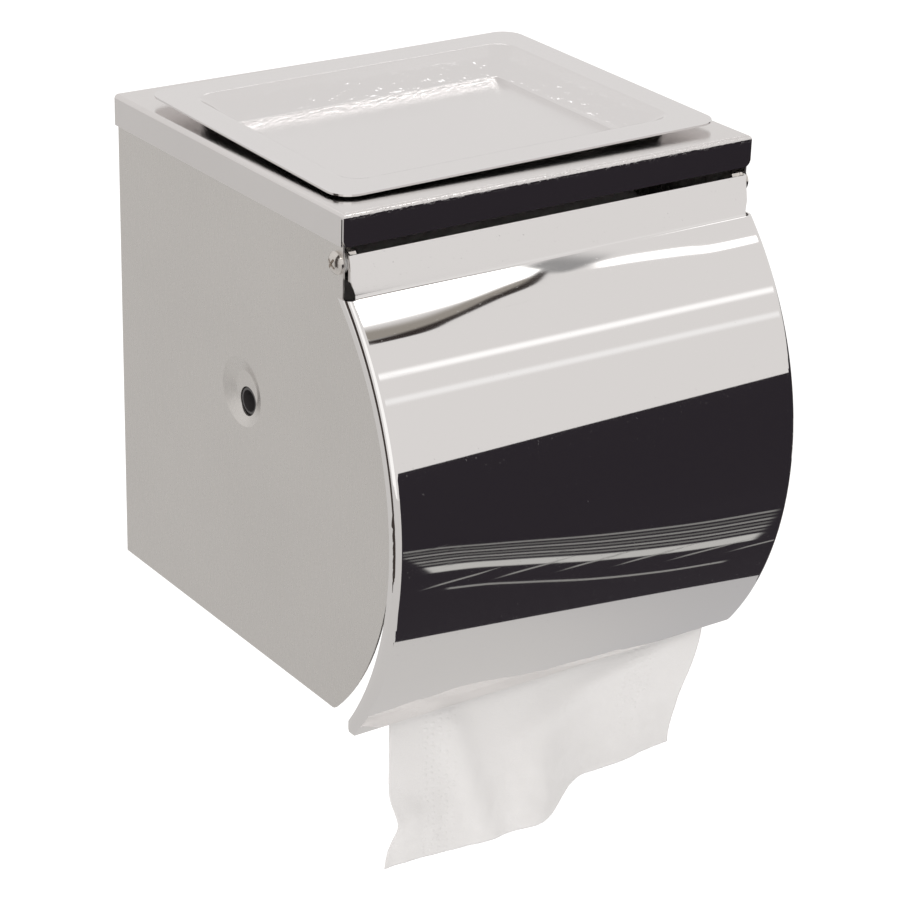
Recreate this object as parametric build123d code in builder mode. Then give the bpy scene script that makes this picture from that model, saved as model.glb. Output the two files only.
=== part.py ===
from build123d import *
import os
from math import asin, degrees, radians, sin, sqrt, tan

# Wall-mounted toilet paper holder in thin stainless sheet.
# Frame: millimetres, +Z up, +Y into the wall, the front faces -Y.
# Origin: centre of the four wall screw holes, on the back face.

# ---------------------------------------------------------------- driving sizes
sheet = 0.5                    # thickness of every pressed sheet
top_z = 60.0                   # top surface of the cap above the wall screw centre
body_height = 133.0            # cap's top to the bottom edge of the housing
bottom_z = top_z - body_height

cap_depth = 112.0              # wall to the front of the cap
cap_skirt = 8.4                # height of the folded-down skirts

body_half = 62.0               # half the outside width over the side panels
body_inner = body_half - sheet
cap_half = body_half + sheet   # the cap's skirts lie against the panels
side_front_y = -111.2          # straight upper part of a side panel's front edge
side_bulge_y, side_bulge_z = -134.0, -17.6   # where the bowed part reaches furthest forward
side_bottom_y = -109.5         # where it meets the bottom edge

pivot_y, pivot_z = -108.7, 47.0      # hinge axis of the front cover
spindle_y, spindle_z = -65.0, -4.7   # axis of the roller, and of its pin holes

wall_hole_r = 2.5
wall_pitch_x, wall_pitch_z = 80.0, 70.0

# front cover: a narrow flat band above a wide bowed sheet
cover_half = 63.0              # its lips end just in front of the side panels
band_half = 60.2               # at its foot; fits between the side panels
bow_y, bow_z, bow_r = -48.1, -21.0, 89.5   # centre and outside radius of the bow
crease_z = 39.4
band_top_y, band_top_z = -112.3, 49.6
shoulder_z = 38.9              # level upper ends of the wide part
cover_bottom_z = -78.3
lip_depth = 3.0                # side lips, measured back from the outside face
lip_trim_y = -117.6            # the lips' lower corners are cut off upright here
lower_corner = 2.8             # bevel of the wide part's lower corners
bend_r = 2.0                   # outside radius of the lips' bends

# paper
roll_r, roll_half = 49.0, 51.5
roll_x = 3.0                   # the roll sits loosely on the roller, a little to the right
core_outer_r, core_wall = 21.0, 1.0
roller_r = 12.0
air = 0.3                      # gap left between paper and its neighbours

os.makedirs("parts", exist_ok=True)


def save(part, name):
    """Label a finished piece and write it as parts/<name>.step."""
    part.label = name
    export_step(part, f"parts/{name}.step")


def bow_point_y(radius, z):
    """Front y of a circle of this radius about the bow's centre, at height z."""
    return bow_y - sqrt(radius**2 - (z - bow_z) ** 2)


# ---------------------------------------------------------------- housing shell
# One sheet bent into a U: back plate and two side panels with bowed front edges.
corner_bend = 1.2
bow_start_z = 36.2
side_top_z = top_z - 1.3         # under the cap's plate, clear of its bend
front_corner_r = 2.5

# pressed dimple that carries a spindle pin in a hole below its middle
dimple_y, dimple_z = -64.1, -2.0
dimple_r, dimple_floor_r, dimple_depth = 9.4, 5.2, 1.5
dimple_seat_r = dimple_r + 0.1
pin_hole_r = 3.85
screw_hole_r = 1.6

with BuildPart() as housing_inside:
    with BuildSketch(Plane.XY.offset(bottom_z - 1)):
        with BuildLine():
            Polyline(
                (-body_inner, -150),
                (-body_inner, -sheet),
                (body_inner, -sheet),
                (body_inner, -150),
                close=True,
            )
        make_face()
    extrude(amount=body_height + 2)
    fillet(housing_inside.edges().filter_by(Axis.Z).group_by(Axis.Y)[-1], corner_bend - sheet)

with BuildPart() as dimple_dish:
    # cup-shaped disc, pressed inwards from the right-hand panel
    with BuildSketch(Plane.XY.offset(dimple_z)):
        with BuildLine():
            Polyline(
                (body_half, dimple_y + dimple_r),
                (body_half - dimple_depth, dimple_y + dimple_floor_r),
                (body_half - dimple_depth, dimple_y),
                (body_inner - dimple_depth, dimple_y),
                (body_inner - dimple_depth, dimple_y + dimple_floor_r + 0.1),
                (body_inner, dimple_y + dimple_seat_r),
                (body_half, dimple_y + dimple_seat_r),
                close=True,
            )
        make_face()
    revolve(axis=Axis((0, dimple_y, dimple_z), (1, 0, 0)))

with BuildPart() as housing_shell:
    with BuildSketch(Plane.YZ) as side_outline:
        with BuildLine():
            Polyline(
                (0, bottom_z),
                (0, side_top_z),
                (side_front_y, side_top_z),
                (side_front_y, bow_start_z),
            )
            ThreePointArc(
                (side_front_y, bow_start_z),
                (side_bulge_y, side_bulge_z),
                (side_bottom_y, bottom_z),
            )
            Line((side_bottom_y, bottom_z), (0, bottom_z))
        make_face()
        lower_front = side_outline.vertices().sort_by_distance((side_bottom_y, bottom_z))[0]
        fillet(lower_front, front_corner_r)
    extrude(amount=body_half, both=True)
    fillet(edges().filter_by(Axis.Z).group_by(Axis.Y)[-1], corner_bend)
    add(housing_inside.part, mode=Mode.SUBTRACT)
    # seats of the two dimples
    with Locations(Plane.YZ.offset(-body_half - 1).shift_origin((-body_half - 1, dimple_y, dimple_z))):
        Cylinder(dimple_seat_r, 2 * body_half + 2, align=(Align.CENTER, Align.CENTER, Align.MIN),
                 mode=Mode.SUBTRACT)
    add(dimple_dish.part)
    add(mirror(dimple_dish.part, about=Plane.YZ, mode=Mode.PRIVATE))
    # pin holes and hinge screw holes
    for hole_r, hole_y, hole_z in (
        (pin_hole_r, spindle_y, spindle_z),
        (screw_hole_r, pivot_y, pivot_z),
    ):
        with Locations(Plane.YZ.offset(-body_half - 1).shift_origin((-body_half - 1, hole_y, hole_z))):
            Cylinder(hole_r, 2 * body_half + 2, align=(Align.CENTER, Align.CENTER, Align.MIN),
                     mode=Mode.SUBTRACT)
    # the back plate rises to the cap's plate
    with BuildSketch(Plane.XY.offset(side_top_z)):
        Rectangle(2 * body_inner - 2 * corner_bend, sheet, align=(Align.CENTER, Align.MAX))
    extrude(amount=top_z - sheet - side_top_z)
    # wall screw holes
    with Locations(Plane.XZ):
        with GridLocations(wall_pitch_x, wall_pitch_z, 2, 2):
            Hole(wall_hole_r)
save(housing_shell.part, "housing_shell")

# ---------------------------------------------------------------- cap
# Top plate with skirts folded down at the front and both sides; the tray drops
# into its rounded opening.
cap_edge_r = 1.2
skirt_corner_r = 2.0
corner_slit = 0.5              # gap between a side skirt and the front skirt
slit_top_z = top_z - 1.4
opening_x, opening_y, opening_r = 99.4, 74.8, 5.0
opening_centre_y = -57.0

with BuildPart() as cap_inside:
    with BuildSketch(Plane.XY.offset(top_z - cap_skirt - 1)):
        with Locations((0, 1)):
            Rectangle(2 * (cap_half - sheet), cap_depth - sheet + 1, align=(Align.CENTER, Align.MAX))
    extrude(amount=cap_skirt + 1 - sheet)
    cap_inside_top = cap_inside.faces().sort_by(Axis.Z)[-1].edges().sort_by(Axis.Y)[:-1]
    fillet(cap_inside_top, cap_edge_r - sheet)

with BuildPart() as top_cap:
    with BuildSketch(Plane.XY.offset(top_z - cap_skirt)):
        Rectangle(2 * cap_half, cap_depth, align=(Align.CENTER, Align.MAX))
    extrude(amount=cap_skirt)
    fillet(top_cap.faces().sort_by(Axis.Z)[-1].edges().sort_by(Axis.Y)[:-1], cap_edge_r)
    add(cap_inside.part, mode=Mode.SUBTRACT)
    # slits that part the side skirts from the ends of the front skirt
    with BuildSketch(Plane.XY.offset(slit_top_z)):
        with Locations(*[(side * cap_half, sheet - cap_depth) for side in (-1, 1)]):
            Rectangle(3 * sheet, corner_slit, align=(Align.CENTER, Align.MIN))
    extrude(amount=-cap_skirt, mode=Mode.SUBTRACT)
    # rounded lower corners of the front skirt
    with BuildSketch(Plane.XZ.offset(cap_depth + 1)):
        for side in (-1, 1):
            corner_x = side * cap_half
            with BuildLine():
                Line((corner_x, top_z - cap_skirt), (corner_x - side * skirt_corner_r, top_z - cap_skirt))
                RadiusArc(
                    (corner_x - side * skirt_corner_r, top_z - cap_skirt),
                    (corner_x, top_z - cap_skirt + skirt_corner_r),
                    -side * skirt_corner_r,
                )
                Line((corner_x, top_z - cap_skirt + skirt_corner_r), (corner_x, top_z - cap_skirt))
            make_face()
    extrude(amount=-1 - sheet - corner_slit / 2, mode=Mode.SUBTRACT)
    # tray opening
    with BuildSketch(Plane.XY.offset(top_z)):
        with Locations((0, opening_centre_y)):
            RectangleRounded(opening_x, opening_y, opening_r)
    extrude(amount=-2 * sheet, mode=Mode.SUBTRACT)
save(top_cap.part, "top_cap")

# ---------------------------------------------------------------- lift-out tray
# Pressed dish with a flat rim. Its sloping walls wedge in the cap's opening, so the
# rim stands a little proud and not quite level.
rim_x, rim_y, rim_r = 117.0, 94.0, 6.0
rim_lift = 2.5                 # rim's top above the cap, at the middle
tilt_across, tilt_back = 0.56, 0.95    # degrees: right side high, back high
dish_x, dish_y, dish_r = 101.0, 77.0, 6.0
floor_x, floor_y, floor_r = 85.0, 61.0, 3.0
dish_depth = 6.5
wall_run = 0.8                 # sideways thickness of the sloping wall
floor_bend, rim_bend = 1.5, 1.2        # radii where the wall meets floor and rim

tray_plane = Plane(
    origin=(0, opening_centre_y, top_z + rim_lift),
    x_dir=(1, 0, tan(radians(tilt_across))),
    z_dir=(-tan(radians(tilt_across)), -tan(radians(tilt_back)), 1),
)

with BuildPart() as tray_hollow:
    with BuildSketch(tray_plane):
        RectangleRounded(dish_x - wall_run, dish_y - wall_run, dish_r - wall_run / 2)
    with BuildSketch(tray_plane.offset(-dish_depth)):
        RectangleRounded(floor_x - wall_run, floor_y - wall_run, floor_r - wall_run / 2)
    loft()
    fillet(tray_hollow.faces().sort_by(Axis.Z)[0].edges(), floor_bend - sheet)

with BuildPart() as tray:
    with BuildSketch(tray_plane.offset(-sheet)):
        RectangleRounded(dish_x, dish_y, dish_r)
    with BuildSketch(tray_plane.offset(-dish_depth - sheet)):
        RectangleRounded(floor_x, floor_y, floor_r)
    loft()
    fillet(tray.faces().sort_by(Axis.Z)[0].edges(), floor_bend)
    with BuildSketch(tray_plane):
        RectangleRounded(rim_x, rim_y, rim_r)
    extrude(amount=-sheet)
    add(tray_hollow.part, mode=Mode.SUBTRACT)
    rim_top = tray.faces().filter_by(lambda face: face.normal_at().Z > 0.9).sort_by(Axis.Z)[-1]
    fillet(rim_top.inner_wires().edges(), rim_bend)
save(tray.part, "tray")

# ---------------------------------------------------------------- front cover
# Narrow band, hinged at its ends, above a wide bowed sheet with two side lips.
crease_fillet = 2.0
ear_r, ear_hole_r = 3.9, 1.55
ear_outer_x = 61.0             # the band widens towards its top, and its ears bend back there
tab_bottom_z = crease_z + 0.5
crease_angle = 180 - degrees(asin((crease_z - bow_z) / bow_r))
crease_y = bow_point_y(bow_r, crease_z)
bow_overrun = 2.0              # degrees that the bow's blank runs past its trimmed ends
bow_start_angle = crease_angle - bow_overrun
bow_end_angle = 180 + degrees(asin((bow_z - cover_bottom_z) / bow_r)) + bow_overrun
bow_sweep = bow_end_angle - bow_start_angle


def band_y(z):
    """Outside y of the flat band at height z."""
    return band_top_y + (crease_y - band_top_y) * (band_top_z - z) / (band_top_z - crease_z)


with BuildPart() as cover_inside:
    with BuildSketch(Plane.YZ):
        with BuildLine():
            far_arc = CenterArc((bow_y, bow_z), bow_r - sheet, bow_start_angle - 3, bow_sweep + 6)
            near_arc = CenterArc((bow_y, bow_z), bow_r - 3 * lip_depth, bow_start_angle - 3, bow_sweep + 6)
            Line(far_arc @ 0, near_arc @ 0)
            Line(far_arc @ 1, near_arc @ 1)
        make_face()
    extrude(amount=cover_half - sheet, both=True)
    inside_front = cover_inside.faces().filter_by(GeomType.CYLINDER).sort_by(Axis.Y)[0]
    fillet(inside_front.edges().filter_by(GeomType.CIRCLE), bend_r - sheet)

with BuildPart() as front_cover:
    with BuildSketch(Plane.YZ):
        with BuildLine():
            face_arc = CenterArc((bow_y, bow_z), bow_r, bow_start_angle, bow_sweep)
            lip_arc = CenterArc((bow_y, bow_z), bow_r - lip_depth, bow_start_angle, bow_sweep)
            Line(face_arc @ 0, lip_arc @ 0)
            Line(face_arc @ 1, lip_arc @ 1)
        make_face()
    extrude(amount=cover_half, both=True)
    outside_front = front_cover.faces().filter_by(GeomType.CYLINDER).sort_by(Axis.Y)[0]
    fillet(outside_front.edges().filter_by(GeomType.CIRCLE), bend_r)
    add(cover_inside.part, mode=Mode.SUBTRACT)
    # level shoulders and lower edge
    for cut_z, cut_height in ((shoulder_z, 40), (cover_bottom_z, -40)):
        with BuildSketch(Plane.XY.offset(cut_z)):
            with Locations((0, bow_y - bow_r)):
                Rectangle(3 * cover_half, 2 * bow_r)
        extrude(amount=cut_height, mode=Mode.SUBTRACT)
    # upright trim of the lips' lower corners
    with BuildSketch(Plane.YZ):
        with Locations((lip_trim_y, cover_bottom_z)):
            Rectangle(20, 16, align=(Align.MIN, Align.CENTER))
    extrude(amount=2 * cover_half, both=True, mode=Mode.SUBTRACT)
    # bevelled lower corners
    with BuildSketch(Plane.XZ):
        for side in (-1, 1):
            with BuildLine():
                Polyline(
                    (side * cover_half, cover_bottom_z + lower_corner),
                    (side * (cover_half - lower_corner), cover_bottom_z),
                    (side * cover_half, cover_bottom_z),
                    close=True,
                )
            make_face()
    extrude(amount=2 * bow_r, mode=Mode.SUBTRACT)
    # band above the crease, running a little way down into the bow
    with BuildSketch(Plane.YZ):
        with BuildLine() as band_line:
            Line((band_top_y, band_top_z), (crease_y, crease_z))
            CenterArc((bow_y, bow_z), bow_r, crease_angle, bow_overrun)
            fillet(band_line.vertices().sort_by_distance((crease_y, crease_z))[0], crease_fillet)
            offset(amount=sheet, side=Side.LEFT)
        make_face()
    extrude(amount=band_half, both=True)
    # widened ends of the band, slanting outwards up to the ears bent back from them
    ear_bottom_z = pivot_z - ear_r
    for side in (-1, 1):
        with BuildSketch(Plane.YZ.offset(side * (band_half - sheet))):
            with BuildLine():
                Polyline(
                    (band_y(band_top_z), band_top_z),
                    (band_y(tab_bottom_z), tab_bottom_z),
                    (band_y(tab_bottom_z) + sheet, tab_bottom_z),
                    (band_y(band_top_z) + sheet, band_top_z),
                    close=True,
                )
            make_face()
        extrude(amount=side * (ear_outer_x - band_half + sheet))
        with BuildSketch(Plane.XZ.offset(-band_top_y - 2)):
            with BuildLine():
                Polyline(
                    (side * ear_outer_x, ear_bottom_z),
                    (side * band_half, tab_bottom_z),
                    (side * (ear_outer_x + sheet), tab_bottom_z),
                    (side * (ear_outer_x + sheet), ear_bottom_z),
                    close=True,
                )
            make_face()
        extrude(amount=6, mode=Mode.SUBTRACT)
        with BuildSketch(Plane.YZ.offset(side * (ear_outer_x - sheet / 2))):
            with Locations((pivot_y, pivot_z)):
                Circle(ear_r)
            with BuildLine():
                Polyline(
                    (pivot_y, ear_bottom_z),
                    (band_y(ear_bottom_z), ear_bottom_z),
                    (band_y(band_top_z), band_top_z),
                    (pivot_y, pivot_z + ear_r),
                    close=True,
                )
            make_face()
            with Locations((pivot_y, pivot_z)):
                Circle(ear_hole_r, mode=Mode.SUBTRACT)
        extrude(amount=sheet / 2, both=True)
save(front_cover.part, "front_cover")

# ---------------------------------------------------------------- hinge hardware
# At each end of the hinge axis: a pan-head screw through the panel, a nylon washer,
# the cover's ear and a nut.
head_r, head_height = 2.9, 1.9
shank_r, shank_end = 1.5, 57.4
recess_long, recess_wide, recess_depth = 3.3, 0.75, 1.2
washer_r, washer_inner_x, washer_outer_x = 2.7, 61.05, 61.45
nut_flats, nut_inner_x, nut_outer_x = 5.5, 57.9, 60.45


def both_sides(part):
    """The piece and its mirror image across the holder's middle plane."""
    return Compound([part.solid(), mirror(part, about=Plane.YZ).solid()])


with BuildPart() as pivot_screw:
    with BuildSketch(Plane.XY.offset(pivot_z)):
        with BuildLine():
            Polyline(
                (body_half, pivot_y),
                (shank_end, pivot_y),
                (shank_end, pivot_y + shank_r - 0.3),
                (shank_end + 0.3, pivot_y + shank_r),
                (body_half, pivot_y + shank_r),
                (body_half, pivot_y + head_r),
                (body_half + 0.6, pivot_y + head_r),
            )
            ThreePointArc(
                (body_half + 0.6, pivot_y + head_r),
                (body_half + head_height - 0.35, pivot_y + 0.6 * head_r),
                (body_half + head_height, pivot_y),
            )
            Line((body_half + head_height, pivot_y), (body_half, pivot_y))
        make_face()
    revolve(axis=Axis((0, pivot_y, pivot_z), (1, 0, 0)))
    # cross recess
    with BuildSketch(Plane.YZ.offset(body_half + head_height + 0.1)):
        with Locations((pivot_y, pivot_z)):
            for turn in (35, 125):
                Rectangle(recess_long, recess_wide, rotation=turn)
    extrude(amount=-recess_depth, taper=12, mode=Mode.SUBTRACT)

with BuildPart() as pivot_washer:
    with BuildSketch(Plane.YZ.offset(washer_inner_x)):
        with Locations((pivot_y, pivot_z)):
            Circle(washer_r)
            Circle(screw_hole_r, mode=Mode.SUBTRACT)
    extrude(amount=washer_outer_x - washer_inner_x)

with BuildPart() as pivot_nut:
    with BuildSketch(Plane.YZ.offset(nut_inner_x)):
        with Locations((pivot_y, pivot_z)):
            RegularPolygon(nut_flats / 2, 6, major_radius=False)
            Circle(shank_r, mode=Mode.SUBTRACT)
    extrude(amount=nut_outer_x - nut_inner_x)

for piece, name in (
    (pivot_screw, "pivot_screws"),
    (pivot_washer, "pivot_washers"),
    (pivot_nut, "pivot_nuts"),
):
    save(both_sides(piece.part), name)

# ---------------------------------------------------------------- sprung roller
# Two plastic tubes that slide in one another, pushed apart by a spring. A pin at
# each end sits in a dimple of the housing.
roller_wall = 1.2
roller_end = 58.75             # outer face of the barrel at each end
slide_gap = 0.1                # between the inner tube and the outer tube's bore
outer_mouth = 10.0             # open end of the outer tube
inner_tail = -10.0             # open end of the inner tube
collar_start = 55.0            # thick end of the inner tube
end_wall = 1.5
boss_r, boss_end = 7.0, 59.55
pin_r, pin_end, pin_bore_r, pin_bore_end = 3.77, 60.3, 2.9, 54.0
spring_seat = 5.0              # web inside the inner tube that the spring pushes on
spring_r, spring_wire_r, spring_turns = 6.8, 0.5, 12
inner_r = roller_r - roller_wall - slide_gap
spindle_axis = Axis((0, spindle_y, spindle_z), (1, 0, 0))
spindle_plane = Plane.XY.offset(spindle_z)

with BuildPart() as roller_outer:
    with BuildSketch(spindle_plane):
        with BuildLine():
            Polyline(
                (-pin_bore_end, spindle_y),
                (-pin_bore_end, spindle_y + pin_bore_r),
                (-pin_end, spindle_y + pin_bore_r),
                (-pin_end, spindle_y + pin_r - 0.3),
                (-pin_end + 0.3, spindle_y + pin_r),
                (-boss_end, spindle_y + pin_r),
                (-boss_end, spindle_y + boss_r),
                (-roller_end, spindle_y + boss_r),
                (-roller_end, spindle_y + roller_r - 0.8),
                (-roller_end + 0.8, spindle_y + roller_r),
                (outer_mouth - 0.4, spindle_y + roller_r),
                (outer_mouth, spindle_y + roller_r - 0.4),
                (outer_mouth, spindle_y + roller_r - roller_wall),
                (-roller_end + end_wall, spindle_y + roller_r - roller_wall),
                (-roller_end + end_wall, spindle_y + pin_r + 0.2),
                (-pin_bore_end + end_wall, spindle_y + pin_r + 0.2),
                (-pin_bore_end + end_wall, spindle_y),
                close=True,
            )
        make_face()
    revolve(axis=spindle_axis)
save(roller_outer.part, "roller_outer")

with BuildPart() as roller_inner:
    with BuildSketch(spindle_plane):
        with BuildLine():
            Polyline(
                (pin_bore_end - end_wall, spindle_y),
                (pin_bore_end - end_wall, spindle_y + pin_r + 0.2),
                (roller_end - end_wall, spindle_y + pin_r + 0.2),
                (roller_end - end_wall, spindle_y + inner_r - roller_wall),
                (spring_seat + end_wall, spindle_y + inner_r - roller_wall),
                (spring_seat + end_wall, spindle_y + pin_bore_r),
                (spring_seat, spindle_y + pin_bore_r),
                (spring_seat, spindle_y + inner_r - roller_wall),
                (inner_tail, spindle_y + inner_r - roller_wall),
                (inner_tail, spindle_y + inner_r - 0.4),
                (inner_tail + 0.4, spindle_y + inner_r),
                (collar_start, spindle_y + inner_r),
                (collar_start, spindle_y + roller_r - 0.4),
                (collar_start + 0.4, spindle_y + roller_r),
                (roller_end - 0.8, spindle_y + roller_r),
                (roller_end, spindle_y + roller_r - 0.8),
                (roller_end, spindle_y + boss_r),
                (boss_end, spindle_y + boss_r),
                (boss_end, spindle_y + pin_r),
                (pin_end - 0.3, spindle_y + pin_r),
                (pin_end, spindle_y + pin_r - 0.3),
                (pin_end, spindle_y + pin_bore_r),
                (pin_bore_end, spindle_y + pin_bore_r),
                (pin_bore_end, spindle_y),
                close=True,
            )
        make_face()
    revolve(axis=spindle_axis)
save(roller_inner.part, "roller_inner")

spring_start = -roller_end + end_wall + spring_wire_r + 0.02
spring_length = spring_seat - spring_wire_r - 0.02 - spring_start
with BuildPart() as roller_spring:
    with BuildLine():
        coil = Helix(
            pitch=spring_length / spring_turns,
            height=spring_length,
            radius=spring_r,
            center=(spring_start, spindle_y, spindle_z),
            direction=(1, 0, 0),
        )
    with BuildSketch(Plane(origin=coil @ 0, z_dir=coil % 0)):
        Circle(spring_wire_r)
    sweep(path=coil, is_frenet=True)
save(roller_spring.part, "roller_spring")

# ---------------------------------------------------------------- paper
# The core hangs on the roller, so the roll's axis is below the roller's.
core_inner_r = core_outer_r - core_wall
roll_z = spindle_z - (core_inner_r - roller_r - air)
tail_thickness = 0.6
tail_back_y = spindle_y - roll_r - air
tail_bottom_z = -123.0

for ring_outer_r, ring_inner_r, name in (
    (core_outer_r, core_inner_r, "paper_core"),
    (roll_r, core_outer_r, "paper_roll"),
):
    with BuildPart() as ring:
        with BuildSketch(Plane.YZ.offset(roll_x)):
            with Locations((spindle_y, roll_z)):
                Circle(ring_outer_r)
                Circle(ring_inner_r, mode=Mode.SUBTRACT)
        extrude(amount=roll_half, both=True)
    save(ring.part, name)

with BuildPart() as paper_tail:
    with BuildSketch(Plane.XY.offset(tail_bottom_z)):
        with Locations((roll_x, tail_back_y)):
            Rectangle(2 * roll_half, tail_thickness, align=(Align.CENTER, Align.MAX))
    extrude(amount=roll_z - tail_bottom_z)
save(paper_tail.part, "paper_tail")
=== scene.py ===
"""Looks of the wall-mounted toilet paper holder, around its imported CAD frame.

Metres, +Z up; the wall is at Y = 0 and the cover faces -Y.
"""
from math import cos, exp, pi, radians, sin, tau

import bpy
from mathutils import Matrix, Vector, noise


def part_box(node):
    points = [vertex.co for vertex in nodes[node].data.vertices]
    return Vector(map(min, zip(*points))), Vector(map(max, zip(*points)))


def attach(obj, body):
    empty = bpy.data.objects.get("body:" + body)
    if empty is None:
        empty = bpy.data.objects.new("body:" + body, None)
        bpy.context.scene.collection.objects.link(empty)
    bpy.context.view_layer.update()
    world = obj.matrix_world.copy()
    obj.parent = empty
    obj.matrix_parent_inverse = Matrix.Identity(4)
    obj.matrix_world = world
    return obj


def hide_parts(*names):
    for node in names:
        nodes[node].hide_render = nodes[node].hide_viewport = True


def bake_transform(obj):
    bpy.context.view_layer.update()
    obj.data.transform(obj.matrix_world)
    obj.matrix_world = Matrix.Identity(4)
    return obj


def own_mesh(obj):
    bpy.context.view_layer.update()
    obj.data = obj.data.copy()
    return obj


MM = 0.001

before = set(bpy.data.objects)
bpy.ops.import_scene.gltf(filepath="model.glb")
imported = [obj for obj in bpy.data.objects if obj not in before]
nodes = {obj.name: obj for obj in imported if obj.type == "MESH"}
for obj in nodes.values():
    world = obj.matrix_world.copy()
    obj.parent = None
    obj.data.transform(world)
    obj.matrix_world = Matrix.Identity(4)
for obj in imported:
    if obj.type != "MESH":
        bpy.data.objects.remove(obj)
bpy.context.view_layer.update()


def corners(node):
    """The lowest and highest corners of a CAD node at rest."""
    return [Vector(corner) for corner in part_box(node)]


# ------------------------------------------------------------------ material helpers
def new_material(name, color, metallic=0.0, roughness=0.5):
    """A principled material and its shader node."""
    material = bpy.data.materials.new(name)
    material.use_nodes = True
    shader = material.node_tree.nodes["Principled BSDF"]
    shader.inputs["Base Color"].default_value = (*color, 1.0)
    shader.inputs["Metallic"].default_value = metallic
    shader.inputs["Roughness"].default_value = roughness
    return material, shader


def add_node(material, kind, **values):
    """A shader node with its inputs or properties set by name."""
    node = material.node_tree.nodes.new(kind)
    for key, value in values.items():
        if key in node.inputs:
            node.inputs[key].default_value = value
        else:
            setattr(node, key, value)
    return node


def link(material, output, socket):
    """Join one node's output to another's input."""
    material.node_tree.links.new(output, socket)


def object_coords(material, scale):
    """Object coordinates stretched by scale, so that a texture can run along one direction."""
    coords = add_node(material, "ShaderNodeTexCoord")
    mapping = add_node(material, "ShaderNodeMapping")
    mapping.inputs["Scale"].default_value = scale
    link(material, coords.outputs["Object"], mapping.inputs["Vector"])
    return mapping.outputs["Vector"]


def noise_value(material, scale, detail, roughness=0.5):
    """Smooth noise, about 0.3 to 0.7; scale is how fine it is along X, Y and Z, per metre."""
    texture = add_node(material, "ShaderNodeTexNoise", Scale=1.0, Detail=detail, Roughness=roughness)
    link(material, object_coords(material, scale), texture.inputs["Vector"])
    return texture.outputs["Fac"]


def remap(material, value, low, high, to_low, to_high):
    """value, stretched from the range low to high onto to_low to to_high, and kept inside it."""
    node = add_node(material, "ShaderNodeMapRange")
    for key, number in (("From Min", low), ("From Max", high), ("To Min", to_low), ("To Max", to_high)):
        node.inputs[key].default_value = number
    link(material, value, node.inputs["Value"])
    return node.outputs["Result"]


def two_tones(material, value, dark, light):
    """A colour between dark, where value is 0, and light, where it is 1."""
    node = add_node(material, "ShaderNodeMix", data_type="RGBA")
    node.inputs["A"].default_value = (*dark, 1.0)
    node.inputs["B"].default_value = (*light, 1.0)
    link(material, value, node.inputs["Factor"])
    return node.outputs["Result"]


def coordinate(material, axis):
    """One object coordinate, in metres."""
    coords = add_node(material, "ShaderNodeTexCoord")
    split = add_node(material, "ShaderNodeSeparateXYZ")
    link(material, coords.outputs["Object"], split.inputs["Vector"])
    return split.outputs[axis]


def plug(material, value, socket):
    """A number is set on the socket; an output is linked to it."""
    if isinstance(value, (int, float)):
        socket.default_value = value
    else:
        link(material, value, socket)


def maths(material, operation, first, second, scale=None):
    """first and second put together; with scale, second is multiplied by it beforehand."""
    if scale is not None:
        second = maths(material, "MULTIPLY", second, scale)
    node = add_node(material, "ShaderNodeMath", operation=operation)
    plug(material, first, node.inputs[0])
    plug(material, second, node.inputs[1])
    return node.outputs["Value"]


def mix_values(material, share, first, second):
    """first where share is 0, second where it is 1."""
    node = add_node(material, "ShaderNodeMix", data_type="FLOAT")
    plug(material, share, node.inputs["Factor"])
    plug(material, first, node.inputs["A"])
    plug(material, second, node.inputs["B"])
    return node.outputs["Result"]


def face_mask(material, axis, limit):
    """1 where the coordinate is below limit, 0 above it."""
    return maths(material, "LESS_THAN", coordinate(material, axis), limit)


def bump(material, shader, height, strength, distance):
    """Relief on the surface; a height of 1 stands for distance, in metres."""
    node = add_node(material, "ShaderNodeBump", Strength=strength, Distance=distance)
    link(material, height, node.inputs["Height"])
    link(material, node.outputs["Normal"], shader.inputs["Normal"])


# ------------------------------------------------------------------ materials
cap_low, cap_high = corners("top_cap")
tray_low, tray_high = corners("tray")
SKIRT_FACE_Y = cap_low.y + 0.6 * MM    # the cap's front skirt is polished in front of this
SKIRT_EDGE_Z = cap_high.z - 2.4 * MM   # the skirt's upper edge is worn from here up
TRAY_FLOOR_Z = tray_low.z + 2.2 * MM   # the tray's walls start just above its slightly tilted floor
TRAY_RIM_Z = tray_high.z - 2.6 * MM    # and end just below its rim


STEEL = (0.68, 0.655, 0.63)
CAP_STEEL = (0.74, 0.715, 0.705)
POLISHED = (0.79, 0.77, 0.76)
TRAY = (0.77, 0.75, 0.745)


def scratches(material, along, amount):
    """Sparse fine scratches, 0 to amount, drawn out along one direction."""
    streaks = noise_value(material, along, 2.0, 0.4)
    patches = noise_value(material, (35, 35, 35), 2.0)
    fine = remap(material, streaks, 0.66, 0.74, 0.0, 1.0)
    here = remap(material, patches, 0.52, 0.66, 0.0, amount)
    return maths(material, "MULTIPLY", fine, here)


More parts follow.
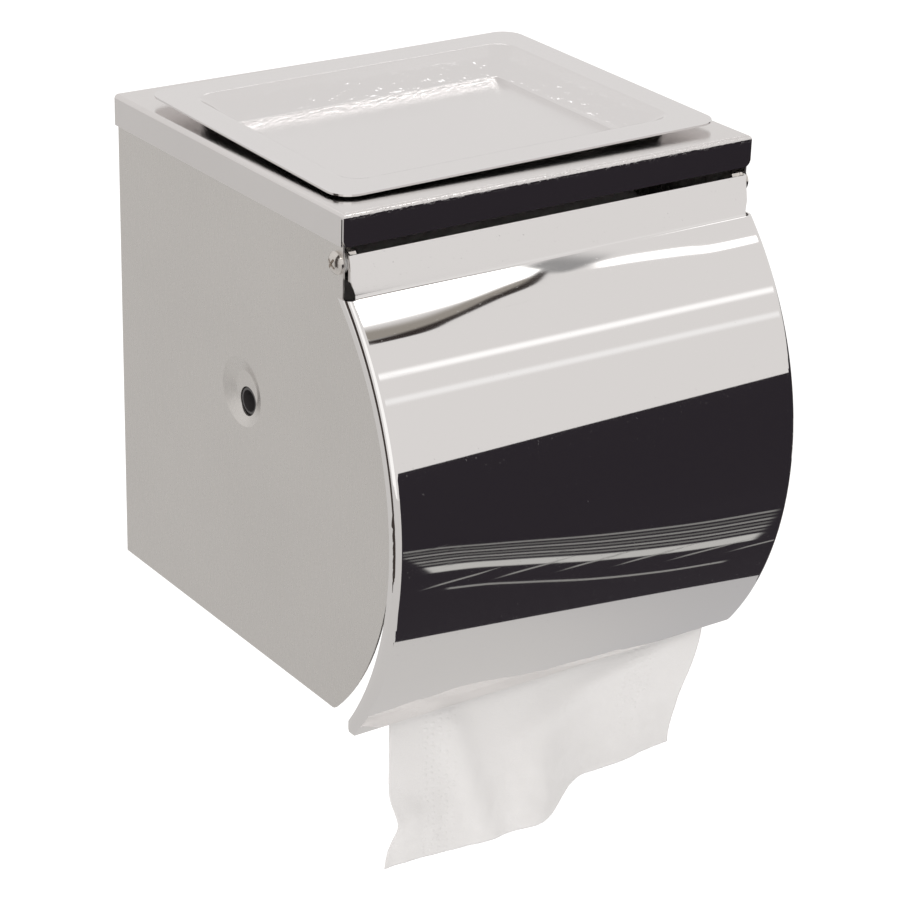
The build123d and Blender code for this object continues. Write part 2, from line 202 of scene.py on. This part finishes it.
def satin_steel(name, color, polished_front=False):
    """Fine-ground stainless sheet: short vertical grain, faint cloudiness and a few scratches."""
    material, shader = new_material(name, color, 1.0, 0.3)
    grain = noise_value(material, (2600, 2600, 260), 4.0, 0.6)
    cloud = noise_value(material, (22, 22, 22), 4.0, 0.6)
    marks = scratches(material, (1500, 1500, 60), 1.0)
    tone = two_tones(material, cloud, [c * 0.95 for c in color], [c * 1.04 for c in color])
    link(material, tone, shader.inputs["Base Color"])
    low, high = (0.14, 0.20) if polished_front else (0.25, 0.33)
    rough = maths(material, "ADD", remap(material, grain, 0.3, 0.7, low, high), marks, scale=-0.10)
    height = maths(material, "ADD", grain, marks, scale=-2.0)
    if polished_front:
        polish = face_mask(material, "Y", SKIRT_FACE_Y)
        nicks = noise_value(material, (700, 700, 2600), 2.0)
        edge = remap(material, coordinate(material, "Z"), SKIRT_EDGE_Z, SKIRT_EDGE_Z + 1.2 * MM, 0.0, 1.0)
        worn = maths(material, "MULTIPLY", edge, remap(material, nicks, 0.50, 0.60, 0.0, 0.3))
        rough = mix_values(material, polish, rough, maths(material, "ADD", worn, 0.035))
        height = mix_values(material, polish, height, maths(material, "MULTIPLY", worn, 6.0))
    link(material, rough, shader.inputs["Roughness"])
    bump(material, shader, height, 0.10, 0.0001)
    return material


def polished_steel():
    """Mirror-finished sheet: slow waviness from rolling, dust specks and hair scratches."""
    material, shader = new_material("polished_steel", POLISHED, 1.0, 0.03)
    waves = noise_value(material, (9, 9, 16), 1.0)
    specks = noise_value(material, (1900, 1900, 1900), 1.0)
    marks = scratches(material, (60, 1400, 1400), 1.0)
    dust = remap(material, specks, 0.74, 0.80, 0.0, 0.22)
    rough = maths(material, "ADD", dust, marks, scale=0.10)
    link(material, maths(material, "ADD", rough, 0.028), shader.inputs["Roughness"])
    bump(material, shader, waves, 0.05, 0.002)
    return material


def tray_steel():
    """Pressed bright sheet: smooth rim and floor, walls left slightly rippled by the press."""
    material, shader = new_material("tray_steel", TRAY, 1.0, 0.16)
    ripple = noise_value(material, (260, 260, 420), 2.0)
    above = remap(material, coordinate(material, "Z"), TRAY_FLOOR_Z, TRAY_FLOOR_Z + 0.3 * MM, 0.0, 1.0)
    below = remap(material, coordinate(material, "Z"), TRAY_RIM_Z, TRAY_RIM_Z - 0.8 * MM, 0.0, 1.0)
    wall = maths(material, "MULTIPLY", above, below)
    cloud = noise_value(material, (30, 30, 30), 4.0)
    marks = scratches(material, (80, 1500, 1500), 0.10)
    rough = maths(material, "ADD", remap(material, cloud, 0.35, 0.65, 0.13, 0.18), marks)
    link(material, mix_values(material, wall, rough, 0.07), shader.inputs["Roughness"])
    grain = noise_value(material, (400, 3000, 3000), 2.0)
    flat = maths(material, "MULTIPLY", grain, 0.12)
    waves = maths(material, "MULTIPLY", maths(material, "SUBTRACT", ripple, 0.5), 2.7)
    bump(material, shader, mix_values(material, wall, flat, waves), 0.16, 0.0003)
    return material


def turned_steel(name, color, roughness):
    """Small plated hardware: tarnish in patches and a fine all-over texture."""
    material, shader = new_material(name, color, 1.0, roughness)
    cloud = noise_value(material, (700, 700, 700), 4.0)
    tone = two_tones(material, cloud, [c * 0.72 for c in color], color)
    link(material, tone, shader.inputs["Base Color"])
    rough = remap(material, cloud, 0.3, 0.7, roughness * 1.7, roughness * 0.7)
    link(material, rough, shader.inputs["Roughness"])
    fine = noise_value(material, (4000, 4000, 4000), 2.0)
    bump(material, shader, fine, 0.08, 0.0001)
    return material


def moulded_plastic(name, dark, light, roughness, turning=0.0):
    """Injection-moulded plastic: slight mottling, a fine matt texture, and faint turned rings if asked."""
    material, shader = new_material(name, light, 0.0, roughness)
    cloud = noise_value(material, (120, 120, 120), 4.0)
    link(material, two_tones(material, cloud, dark, light), shader.inputs["Base Color"])
    rough = remap(material, cloud, 0.3, 0.7, roughness - 0.06, roughness + 0.08)
    link(material, rough, shader.inputs["Roughness"])
    grit = noise_value(material, (2500, 2500, 2500), 2.0)
    if turning:
        rings = noise_value(material, (1800, 1, 1), 2.0)
        grit = maths(material, "ADD", grit, rings, scale=turning)
    bump(material, shader, grit, 0.12, 0.00015)
    return material


def cardboard():
    """Grey-brown board wound in a spiral, with its seam showing and loose fibres."""
    material, shader = new_material("cardboard", (0.40, 0.31, 0.22), 0.0, 0.85)
    fibres = noise_value(material, (300, 1500, 1500), 5.0, 0.7)
    cloud = noise_value(material, (60, 60, 60), 4.0)
    blend = maths(material, "ADD", maths(material, "MULTIPLY", fibres, 0.7), cloud, scale=0.3)
    share = remap(material, blend, 0.35, 0.65, 0.0, 1.0)
    board = two_tones(material, share, (0.29, 0.21, 0.14), (0.50, 0.40, 0.29))
    link(material, board, shader.inputs["Base Color"])
    seam = add_node(material, "ShaderNodeTexWave", wave_type="BANDS", bands_direction="X", Scale=1.0)
    link(material, object_coords(material, (11, 6, 6)), seam.inputs["Vector"])
    edge = remap(material, seam.outputs["Fac"], 0.0, 0.04, 0.0, 1.0)
    bump(material, shader, maths(material, "ADD", fibres, edge, scale=1.5), 0.35, 0.0003)
    return material


def tissue():
    """Two-ply tissue: soft fibres, a slight creping and columns of embossed dots."""
    material, shader = new_material("tissue", (0.69, 0.675, 0.665), 0.0, 0.95)
    shader.inputs["Subsurface Weight"].default_value = 0.15
    shader.inputs["Subsurface Radius"].default_value = (0.002, 0.002, 0.002)
    shader.inputs["Sheen Weight"].default_value = 0.15
    fibres = noise_value(material, (900, 900, 1800), 5.0, 0.7)
    cloud = noise_value(material, (45, 45, 45), 4.0)
    tone = two_tones(material, cloud, (0.655, 0.64, 0.63), (0.715, 0.70, 0.69))
    link(material, tone, shader.inputs["Base Color"])
    dots = add_node(material, "ShaderNodeTexVoronoi", voronoi_dimensions="3D", Scale=1.0, Randomness=0.35)
    link(material, object_coords(material, (450, 60, 520)), dots.inputs["Vector"])
    dot = remap(material, dots.outputs["Distance"], 0.16, 0.34, 1.0, 0.0)
    column = add_node(material, "ShaderNodeTexWave", wave_type="BANDS", bands_direction="X", Scale=1.0)
    link(material, object_coords(material, (4.7, 0, 0)), column.inputs["Vector"])
    here = remap(material, column.outputs["Fac"], 0.90, 0.97, 0.0, 1.0)
    emboss = maths(material, "MULTIPLY", dot, here)
    fuzz = maths(material, "MULTIPLY", fibres, 0.5)
    bump(material, shader, maths(material, "ADD", fuzz, emboss, scale=0.6), 0.35, 0.0004)
    return material


tissue_material = tissue()
looks = {
    "housing_shell": satin_steel("satin_steel", STEEL),
    "top_cap": satin_steel("satin_cap_steel", CAP_STEEL, polished_front=True),
    "front_cover": polished_steel(),
    "tray": tray_steel(),
    "pivot_screws": turned_steel("screw_steel", (0.78, 0.74, 0.70), 0.14),
    "pivot_washers": moulded_plastic("nylon", (0.40, 0.39, 0.38), (0.50, 0.49, 0.48), 0.45),
    "roller_outer": moulded_plastic(
        "roller_plastic", (0.030, 0.028, 0.028), (0.055, 0.050, 0.050), 0.38, turning=0.6
    ),
    "roller_spring": turned_steel("spring_steel", (0.42, 0.40, 0.38), 0.30),
    "paper_core": cardboard(),
    "paper_roll": tissue_material,
    "paper_tail": tissue_material,
}
looks["pivot_nuts"] = looks["pivot_screws"]
looks["roller_inner"] = looks["roller_outer"]
for name, material in looks.items():
    node = nodes[name]
    if not node.material_slots:
        node.data.materials.append(material)
    for slot in node.material_slots:
        slot.material = material


# ------------------------------------------------------------------ paper
roll_low, roll_high = corners("paper_roll")
core_low, core_high = corners("paper_core")
tail_low, tail_high = corners("paper_tail")
ROLL_CENTRE = (roll_low + roll_high) / 2
ROLL_RADIUS = (roll_high.z - roll_low.z) / 2
CORE_RADIUS = (core_high.z - core_low.z) / 2
HALF_WIDTH = (roll_high.x - roll_low.x) / 2
PLY = 0.45 * MM                # step that one turn of paper makes on the roll


def mesh_object(name, vertices, faces, material):
    """A smooth-shaded mesh in the scene."""
    mesh = bpy.data.meshes.new(name)
    mesh.from_pydata(vertices, [], faces)
    mesh.materials.append(material)
    mesh.polygons.foreach_set("use_smooth", [True] * len(mesh.polygons))
    piece = bpy.data.objects.new(name, mesh)
    bpy.context.scene.collection.objects.link(piece)
    return piece


def smoothstep(value, low, high):
    """0 at low, 1 at high, with a soft start and end."""
    t = min(max((value - low) / (high - low), 0.0), 1.0)
    return t * t * (3 - 2 * t)


def wound_roll():
    """The roll as one closed loop of rings: bore, wound end faces that show their turns, and the outside."""
    segments, end_rings, outside_rings = 240, 96, 40
    turns = 42
    # each point: its radius as a share from core to outside, its side from -1 to 1, and 1 on an end face
    profile = []
    for i in range(end_rings + 1):
        profile.append((i / end_rings, -1.0, 1.0))
    for i in range(1, outside_rings):
        profile.append((1.0, -1.0 + 2.0 * i / outside_rings, 0.0))
    for i in range(end_rings, -1, -1):
        profile.append((i / end_rings, 1.0, 1.0))
    for i in range(1, 4):
        profile.append((0.0, 1.0 - 2.0 * i / 4, 0.0))
    vertices, faces = [], []
    for s in range(segments):
        # the outermost turn starts at the front, where the sheet leaves the roll
        turned = s / segments
        angle = pi + tau * turned
        for share, side, is_end in profile:
            radius = CORE_RADIUS + 0.02 * MM + (ROLL_RADIUS - CORE_RADIUS) * share
            if share > 0.5:
                radius -= PLY * (1.0 - turned) * smoothstep(share, 0.5, 1.0)
            y = ROLL_CENTRE.y + radius * cos(angle)
            z = ROLL_CENTRE.z + radius * sin(angle)
            winding = (share * turns - turned) % 1.0
            uneven = noise.noise(Vector((share * turns * 0.35 + 20, cos(angle) * 1.5, sin(angle) * 1.5)))
            proud = 0.28 * (1 - abs(2 * winding - 1)) + 0.30 * uneven
            x = ROLL_CENTRE.x + side * HALF_WIDTH - is_end * side * (0.55 - proud) * MM
            if share == 1.0 and not is_end:
                swell = 0.25 * MM * noise.noise(Vector((side * 3, cos(angle) * 4, sin(angle) * 4)))
                y += (swell - 0.2 * MM) * cos(angle)
                z += (swell - 0.2 * MM) * sin(angle)
            vertices.append((x, y, z))
    count = len(profile)
    for s in range(segments):
        after = (s + 1) % segments
        for i in range(count):
            j = (i + 1) % count
            faces.append((s * count + i, s * count + j, after * count + j, after * count + i))
    roll = mesh_object("wound_paper", vertices, faces, tissue_material)
    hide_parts("paper_roll")
    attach(roll, "roll")


TAIL_TOP = tail_high.z
TAIL_Y = (tail_low.y + tail_high.y) / 2
LIP_Z = corners("front_cover")[0].z    # the tail hangs free below the cover's lower edge
WRAP = radians(42)             # how far the sheet is drawn up around the roll
TUCK = 0.75 * MM               # how deep its upper end goes into the roll


def bell(distance, width):
    """1 at no distance, falling to nearly nothing at twice the width."""
    return exp(-(distance / width) ** 2)


def tail_bottom(x):
    """Height of the torn edge: low on the left, a step up right of the middle, and perforation teeth."""
    step = 4.2 * MM * smoothstep(x, -1.0 * MM, 20.0 * MM)
    sag = 1.2 * MM * smoothstep(-x, 20 * MM, 46 * MM)
    teeth = 0.22 * MM * abs(((x / (1.3 * MM)) % 1.0) - 0.5)
    return tail_low.z - 0.2 * MM + step + sag + teeth


def tail_point(across, down):
    """A point of the hanging sheet; across runs -1 to 1, and down from 0 at the roll to 1 at the edge."""
    x = ROLL_CENTRE.x + across * HALF_WIDTH
    z = TAIL_TOP + (tail_bottom(x) - TAIL_TOP) * down
    free = smoothstep(LIP_Z - z, 0.0, 40 * MM)
    clear = smoothstep(LIP_Z - z, 0.0, 8 * MM)
    left = smoothstep(-across, 0.60, 1.0)
    right = smoothstep(across, 0.55, 1.0)
    # the right part swings back towards the wall, past a ridge near the middle
    back = smoothstep(x, -4 * MM, 24 * MM)
    ridge = bell(x - 2 * MM, 9 * MM)
    y = TAIL_Y + free * MM * (8.0 * back - 2.0 * ridge - 0.8)
    # a slanting fold on the right, a steep crease on the left, and a curl in the left edge
    fold = bell(z + 92 * MM - 0.32 * x, 5.0 * MM)
    crease = bell(x + 24 * MM + 0.35 * (z + 100 * MM), 5.0 * MM)
    curl = bell(z + 108.5 * MM, 5.5 * MM)
    y += clear * MM * (-1.4 * fold * smoothstep(across, -0.7, 0.1) - 1.2 * crease)
    y += (1.5 * right * free - 2.2 * left * curl) * MM
    x += (1.4 * left * curl - 2.0 * right * free) * MM
    x -= 1.0 * MM * left * smoothstep(down, 0.93, 1.0)
    ripple = noise.noise(Vector((x * 70, z * 70, 4.0))) + 0.5 * noise.noise(Vector((x * 220, z * 220, 9.0)))
    y += free * 0.6 * MM * ripple
    return Vector((x, y, z))


def on_roll(across, share):
    """A point of the part that still lies on the roll, from share 0 at its upper end to 1 at the front."""
    angle = WRAP * (1 - share)
    radius = ROLL_CENTRE.y - TAIL_Y - TUCK * (1 - share)
    return Vector((ROLL_CENTRE.x + across * HALF_WIDTH, ROLL_CENTRE.y - radius * cos(angle),
                   TAIL_TOP + radius * sin(angle)))


def hanging_sheet():
    """The loose end of the paper: the last of the turn on the roll, then free down to the torn edge."""
    columns, wrap_rows, rows = 230, 24, 150
    acrosses = [2 * c / columns - 1 for c in range(columns + 1)]
    grid = [[on_roll(across, r / wrap_rows) for across in acrosses] for r in range(wrap_rows)]
    grid += [[tail_point(across, r / rows) for across in acrosses] for r in range(rows + 1)]
    rows += wrap_rows
    vertices = [point for row in grid for point in row]
    faces = []
    for r in range(rows):
        for c in range(columns):
            first = r * (columns + 1) + c
            faces.append((first, first + columns + 1, first + columns + 2, first + 1))
    sheet = mesh_object("hanging_sheet", vertices, faces, tissue_material)
    solid = sheet.modifiers.new("thickness", "SOLIDIFY")
    solid.thickness = 0.22 * MM
    solid.offset = 0.0
    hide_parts("paper_tail")
    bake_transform(sheet)


wound_roll()
hanging_sheet()


# ------------------------------------------------------------------ spring
SPRING_TURNS = 12
SPRING_WIRE = 0.5 * MM         # radius of the wire


def compression_spring():
    """The spring inside the roller, which in the holder shortens as the inner tube is pressed in; this coil
    is built at one length only.
    """
    low, high = corners("roller_spring")
    middle = (low + high) / 2
    radius = (high.z - low.z) / 2 - SPRING_WIRE
    length = high.x - low.x - 2 * SPRING_WIRE
    steps, sides = SPRING_TURNS * 40, 12
    vertices, faces = [], []
    for i in range(steps + 1):
        angle = tau * SPRING_TURNS * i / steps
        centre = Vector((low.x + SPRING_WIRE + length * i / steps,
                         middle.y + radius * cos(angle), middle.z + radius * sin(angle)))
        outward = Vector((0, cos(angle), sin(angle)))
        along = Vector((length / (tau * SPRING_TURNS), -radius * sin(angle), radius * cos(angle)))
        sideways = along.normalized().cross(outward)
        for k in range(sides):
            turn = tau * k / sides
            vertices.append(centre + SPRING_WIRE * (outward * cos(turn) + sideways * sin(turn)))
    for i in range(steps):
        for k in range(sides):
            after = (k + 1) % sides
            faces.append((i * sides + k, i * sides + after, (i + 1) * sides + after, (i + 1) * sides + k))
    faces.append(tuple(range(sides)))
    faces.append(tuple(steps * sides + k for k in reversed(range(sides))))
    spring = mesh_object("coil_spring", vertices, faces, looks["roller_spring"])
    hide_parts("roller_spring")
    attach(spring, "spindle")
    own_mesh(spring)


compression_spring()


# ------------------------------------------------------------------ stage
def studio_material(name, color, glow=0.0):
    """A matt studio surface, or an evenly glowing one."""
    material, shader = new_material(name, color, 0.0, 0.9)
    if glow:
        shader.inputs["Base Color"].default_value = (0, 0, 0, 1)
        shader.inputs["Emission Color"].default_value = (*color, 1.0)
        shader.inputs["Emission Strength"].default_value = glow
    return material


def stage_piece(mesh, material, seen=False):
    """Put a mesh of the studio in the scene; unless seen, it only shows in reflections."""
    mesh.materials.append(material)
    piece = bpy.data.objects.new(mesh.name, mesh)
    bpy.context.scene.collection.objects.link(piece)
    if not seen:
        piece.visible_camera = False
        piece.visible_shadow = False
        piece.visible_diffuse = False
    return piece


def card(name, outline, material, seen=False):
    """A flat studio card."""
    mesh = bpy.data.meshes.new(name)
    mesh.from_pydata([Vector(point) for point in outline], [], [tuple(range(len(outline)))])
    return stage_piece(mesh, material, seen)


FLOOR_Z = -0.6
FLOOR_HALF = 6.0
WALL_Y = -1.0                  # upright plane in front of the cover that holds the shaped cards
floor_corners = [(-1, -1), (1, -1), (1, 1), (-1, 1)]
floor_white = studio_material("floor_white", (0.92, 0.92, 0.92))
floor_shader = floor_white.node_tree.nodes["Principled BSDF"]
floor_shader.inputs["Emission Color"].default_value = (1, 1, 1, 1)
floor_shader.inputs["Emission Strength"].default_value = 0.35
floor = card("floor", [(x * FLOOR_HALF, y * FLOOR_HALF, FLOOR_Z) for x, y in floor_corners],
             floor_white, seen=True)
floor.visible_glossy = False
# the metal sees a greyer floor in its place
card("floor_reflection", [(x * FLOOR_HALF, y * FLOOR_HALF, FLOOR_Z - 2 * MM) for x, y in floor_corners],
     studio_material("floor_grey", (0.66, 0.65, 0.64), 1.0))


def glow_material(name, color, glow, fades):
    """Evenly glowing cloth that thins out to nothing at its edges; fades are shares of the (u, v) span."""
    material = bpy.data.materials.new(name)
    material.use_nodes = True
    tree = material.node_tree
    tree.nodes.remove(tree.nodes["Principled BSDF"])
    light = add_node(material, "ShaderNodeEmission", Strength=glow)
    light.inputs["Color"].default_value = (*color, 1.0)
    clear = add_node(material, "ShaderNodeBsdfTransparent")
    split = add_node(material, "ShaderNodeSeparateXYZ")
    link(material, add_node(material, "ShaderNodeTexCoord").outputs["UV"], split.inputs["Vector"])
    cover = 1.0
    for axis, ends in (("X", fades[:2]), ("Y", fades[2:])):
        value = split.outputs[axis]
        for end, width in enumerate(ends):
            if width:
                edge = remap(material, value, float(end), abs(end - width), 0.0, 1.0)
                edge.node.interpolation_type = "SMOOTHERSTEP"
                cover = maths(material, "MULTIPLY", cover, edge)
    mix = add_node(material, "ShaderNodeMixShader")
    plug(material, cover, mix.inputs[0])
    link(material, clear.outputs[0], mix.inputs[1])
    link(material, light.outputs[0], mix.inputs[2])
    link(material, mix.outputs[0], tree.nodes["Material Output"].inputs["Surface"])
    return material


def smooth_line(points, steps=48):
    """Evenly spaced points on a smooth curve through the given ones."""
    points = [Vector(point) for point in points]
    padded = [2 * points[0] - points[1], *points, 2 * points[-1] - points[-2]]
    line = []
    for step in range(steps + 1):
        place = step / steps * (len(points) - 1)
        i = min(int(place), len(points) - 2)
        t = place - i
        a, b, c, d = padded[i:i + 4]
        line.append(0.5 * (2 * b + (c - a) * t + (2 * a - 5 * b + 4 * c - d) * t * t
                           + (3 * b - a - 3 * c + d) * t * t * t))
    return line


def ribbon(name, place, lower, upper, material):
    """A glowing cloth stretched between two smooth edges; place turns an edge's (a, b) into a point."""
    lower, upper = smooth_line(lower), smooth_line(upper)
    across = 6
    mesh = bpy.data.meshes.new(name)
    vertices, faces = [], []
    for low, high in zip(lower, upper):
        vertices += [place(*low.lerp(high, k / across)) for k in range(across + 1)]
    row = across + 1
    for i in range(len(lower) - 1):
        for k in range(across):
            first, after = i * row + k, (i + 1) * row + k
            faces.append((first, after, after + 1, first + 1))
    mesh.from_pydata(vertices, [], faces)
    uv = mesh.uv_layers.new(name="UVMap")
    for loop in mesh.loops:
        i, k = divmod(loop.vertex_index, row)
        uv.data[loop.index].uv = (i / (len(lower) - 1), k / across)
    stage_piece(mesh, material)


def wall(nearer=0.0):
    """Placing function for the upright plane in front; the first number is x, the second z."""
    return lambda x, z: (x, WALL_Y + nearer, z)


def tube(name, left, right, half_height, glow):
    """A long soft-edged lamp tube on the wall."""
    lower = [(x, z - half_height) for x, z in (left, right)]
    upper = [(x, z + half_height) for x, z in (left, right)]
    ribbon(name, wall(), lower, upper, glow_material(name, (1, 1, 1), glow, (0.1, 0.1, 0.5, 0.5)))


felt = studio_material("dark_felt", (0.017, 0.013, 0.019), 1.0)
FELT_LEFT = Vector((0.10, -0.741))     # ends of its run in plan
FELT_RIGHT = Vector((0.60, -0.007))
FELT_TOP = 0.010
FELT_CORNER = 0.022


def on_felt(along, z, nearer=4 * MM):
    """A point just in front of the dark felt, along it from its left end."""
    run = (FELT_RIGHT - FELT_LEFT).normalized()
    x, y = FELT_LEFT + run * along + Vector((-run.y, run.x)) * nearer
    return (x, y, z)


felt_length = (FELT_RIGHT - FELT_LEFT).length
felt_outline = (
    (0.0, FLOOR_Z),
    (felt_length, FLOOR_Z),
    (felt_length, FELT_TOP - FELT_CORNER),
    (felt_length - FELT_CORNER, FELT_TOP),
    (FELT_CORNER, FELT_TOP),
    (0.0, FELT_TOP - FELT_CORNER),
)
card("front_felt", [on_felt(along, z, 0.0) for along, z in felt_outline], felt)

# a slatted rack in front of the felt: thin slats, a broad rail, slanting struts and a lower bar
RACK = [(0.205, -0.222), (0.235, -0.235), (0.269, -0.257), (0.335, -0.297), (0.399, -0.320), (0.450, -0.324)]
RACK_STEP = Vector((0.45, -0.90))


def rack_bar(name, start, end, tone, fades=(0.03, 0.03, 0.2, 0.2)):
    """A bar of the rack between two distances below its top line."""
    upper = [Vector(p) + RACK_STEP * start for p in RACK]
    lower = [Vector(p) + RACK_STEP * end for p in RACK]
    ribbon(name, on_felt, lower, upper, glow_material(name, (tone, tone, tone * 0.97), 1.0, fades))


SLAT_STEP = 12.7 * MM
SLAT_TONES = (0.26, 0.14, 0.28, 0.16, 0.30, 0.20)
for index, tone in enumerate(SLAT_TONES):
    rack_bar(f"slat_{index}", index * SLAT_STEP, index * SLAT_STEP + 8 * MM, tone)
rack_bar("rail", 76 * MM, 108 * MM, 0.58)
rack_bar("lower_bar", 178 * MM, 188 * MM, 0.30)
STRUTS = 6
STRUT_START, STRUT_STEP = 0.265, 0.046
STRUT_Z, STRUT_SAG = -0.345, 0.075
for index in range(STRUTS):
    along = STRUT_START + STRUT_STEP * index
    z = STRUT_Z - STRUT_SAG * smoothstep(along, 0.25, 0.50)
    ribbon(f"strut_{index}", on_felt, [(along, z - 0.034), (along + 0.030, z - 0.012)],
           [(along + 0.006, z - 0.020), (along + 0.040, z + 0.004)],
           glow_material(f"strut_{index}", (0.30, 0.30, 0.29), 1.0, (0.3, 0.1, 0.2, 0.2)))


def around(azimuth, distance, z):
    """A point at this height, in the direction azimuth: degrees from straight in front, towards +X."""
    return (distance * sin(radians(azimuth)), -distance * cos(radians(azimuth)), z)


def side_card(name, azimuths, distance, heights, material):
    """An upright card between two directions and two heights."""
    left, right = azimuths
    low, high = heights
    card(name, [around(left, distance, low), around(right, distance, low), around(right, distance, high),
                around(left, distance, high)], material)


side_card("side_felt", (-97, -70), 1.2, (FLOOR_Z, 1.5),
          studio_material("brown_felt", (0.045, 0.035, 0.03), 1.0))
side_card("front_left_glow", (-50, -14), 1.3, (-0.1, 2.3),
          studio_material("front_glow", (1, 1, 0.99), 1.2))

# glowing cloths that the cover's bow mirrors, each between its lower and its upper edge
ribbon("softbox", wall(),
       [(0.60, 1.07), (0.72, 1.075), (0.80, 1.083), (0.884, 1.133), (0.97, 1.225), (1.035, 1.291),
        (1.085, 1.36)],
       [(0.60, 1.75), (0.75, 1.75), (0.90, 1.74), (1.00, 1.72), (1.07, 1.68), (1.11, 1.60), (1.13, 1.48)],
       glow_material("softbox_white", (1, 1, 0.99), 2.4, (0, 0.06, 0.10, 0.1)))
ribbon("softbox_skirt", wall(-0.01),
       [(0.62, 0.89), (0.709, 0.925), (0.736, 0.912), (0.793, 0.985), (0.891, 1.105), (0.976, 1.20),
        (1.059, 1.315)],
       [(0.60, 1.11), (0.72, 1.115), (0.81, 1.12), (0.88, 1.165), (0.965, 1.26), (1.03, 1.325), (1.09, 1.40)],
       glow_material("beige_cloth", (0.36, 0.335, 0.30), 1.0, (0, 0.1, 0.15, 0.55)))
ribbon("dark_streak", wall(0.01),
       [(0.650, 0.865), (0.712, 0.872), (0.768, 0.940), (0.868, 1.058), (0.955, 1.150), (1.070, 1.325)],
       [(0.650, 0.925), (0.722, 0.945), (0.798, 1.010), (0.893, 1.128), (0.975, 1.222), (1.062, 1.342)],
       glow_material("dark_edge", (0.040, 0.032, 0.030), 1.0, (0.08, 0.06, 0.22, 0.45)))
ribbon("grey_panel", wall(-0.02), [(1.04, 1.23), (1.09, 1.26), (1.15, 1.32), (1.22, 1.40)],
       [(1.09, 1.42), (1.15, 1.50), (1.21, 1.54), (1.27, 1.56)],
       glow_material("grey_cloth", (0.36, 0.36, 0.36), 1.0, (0.25, 0.6, 0.3, 0.3)))
ribbon("bright_strip", wall(), [(1.04, 1.20), (1.07, 1.16), (1.09, 1.10), (1.10, 1.06), (1.15, 1.06)],
       [(1.10, 1.31), (1.16, 1.31), (1.185, 1.26), (1.18, 1.20), (1.23, 1.19)],
       glow_material("strip_white", (1, 1, 1), 2.2, (0.15, 0.0, 0.25, 0.25)))
tube("tube_high", (0.47, 0.603), (0.97, 0.561), 0.042, 1.30)
tube("tube_low", (0.43, 0.425), (0.90, 0.377), 0.036, 1.06)

# a duller patch of floor, mirrored by the cover's lower part
ribbon("floor_shade", lambda x, y: (x, y, FLOOR_Z + MM),
       [(0.27, -0.9), (0.75, -0.9)], [(0.27, 0.6), (0.75, 0.6)],
       glow_material("floor_shade", (0.545, 0.54, 0.545), 1.0, (0.45, 0, 0.1, 0.1)))

# small strong lamp behind, caught only by the tray's bends
lamp_white = studio_material("lamp_white", (1, 1, 1), 3.5)
card("bend_lamp", [(0.30, 0.68, 1.26), (1.30, 0.68, 1.26), (1.30, 0.72, 1.24), (0.30, 0.72, 1.24)],
     lamp_white)

# two windows caught by the rippled walls of the tray
wall_white = studio_material("wall_white", (1, 1, 1), 1.7)
card("back_wall_window",
     [(0.60, -0.36, 1.02), (0.74, -0.36, 1.02), (0.74, -0.27, 1.07), (0.60, -0.27, 1.07)], wall_white)
card("right_wall_window",
     [(-0.31, 0.84, 0.74), (-0.23, 0.84, 0.74), (-0.23, 0.78, 0.83), (-0.31, 0.78, 0.83)], wall_white)


def area_light(name, location, target, size, power):
    """A soft lamp that lights matt surfaces but doesn't show in the metal."""
    data = bpy.data.lights.new(name, "AREA")
    data.shape = "RECTANGLE"
    data.size, data.size_y = size
    data.energy = power
    lamp = bpy.data.objects.new(name, data)
    bpy.context.scene.collection.objects.link(lamp)
    lamp.location = location
    lamp.rotation_euler = (Vector(target) - Vector(location)).to_track_quat("-Z", "Y").to_euler()
    lamp.visible_camera = False
    lamp.visible_glossy = False


area_light("key_light", (-1.5, -0.7, 0.9), (0, -0.10, -0.08), (0.5, 0.5), 10)

# an even, slightly warm studio
world = bpy.data.worlds.new("studio")
world.use_nodes = True
world.node_tree.nodes["Background"].inputs["Color"].default_value = (1.0, 0.985, 0.975, 1)
world.node_tree.nodes["Background"].inputs["Strength"].default_value = 0.86
bpy.context.scene.world = world
bpy.context.scene.view_settings.view_transform = "Standard"


# ------------------------------------------------------------------ camera
CAMERA_PLACE = Vector((-0.40787, -0.64717, 0.28028))
HEADING = radians(35.903)      # to the right of straight at the wall
DOWNWARD = radians(23.906)
ROLL = radians(1.906)          # its right side is a little higher than its left


def photo_camera():
    """Camera at the photograph's viewing angle: from the front left, above, slightly rolled."""
    data = bpy.data.cameras.new("camera")
    data.sensor_width = 36.0
    data.lens = 114.42
    data.shift_x = -0.0344
    data.shift_y = 0.0111
    data.clip_end = 50.0
    camera = bpy.data.objects.new("camera", data)
    bpy.context.scene.collection.objects.link(camera)
    forward = Vector((sin(HEADING) * cos(DOWNWARD), cos(HEADING) * cos(DOWNWARD), -sin(DOWNWARD)))
    level = Vector((cos(HEADING), -sin(HEADING), 0.0))
    right = level * cos(ROLL) + level.cross(forward) * sin(ROLL)
    up = right.cross(forward)
    turned = Matrix((right, up, -forward)).transposed()
    camera.matrix_world = Matrix.Translation(CAMERA_PLACE) @ turned.to_4x4()
    bpy.context.scene.camera = camera


photo_camera()
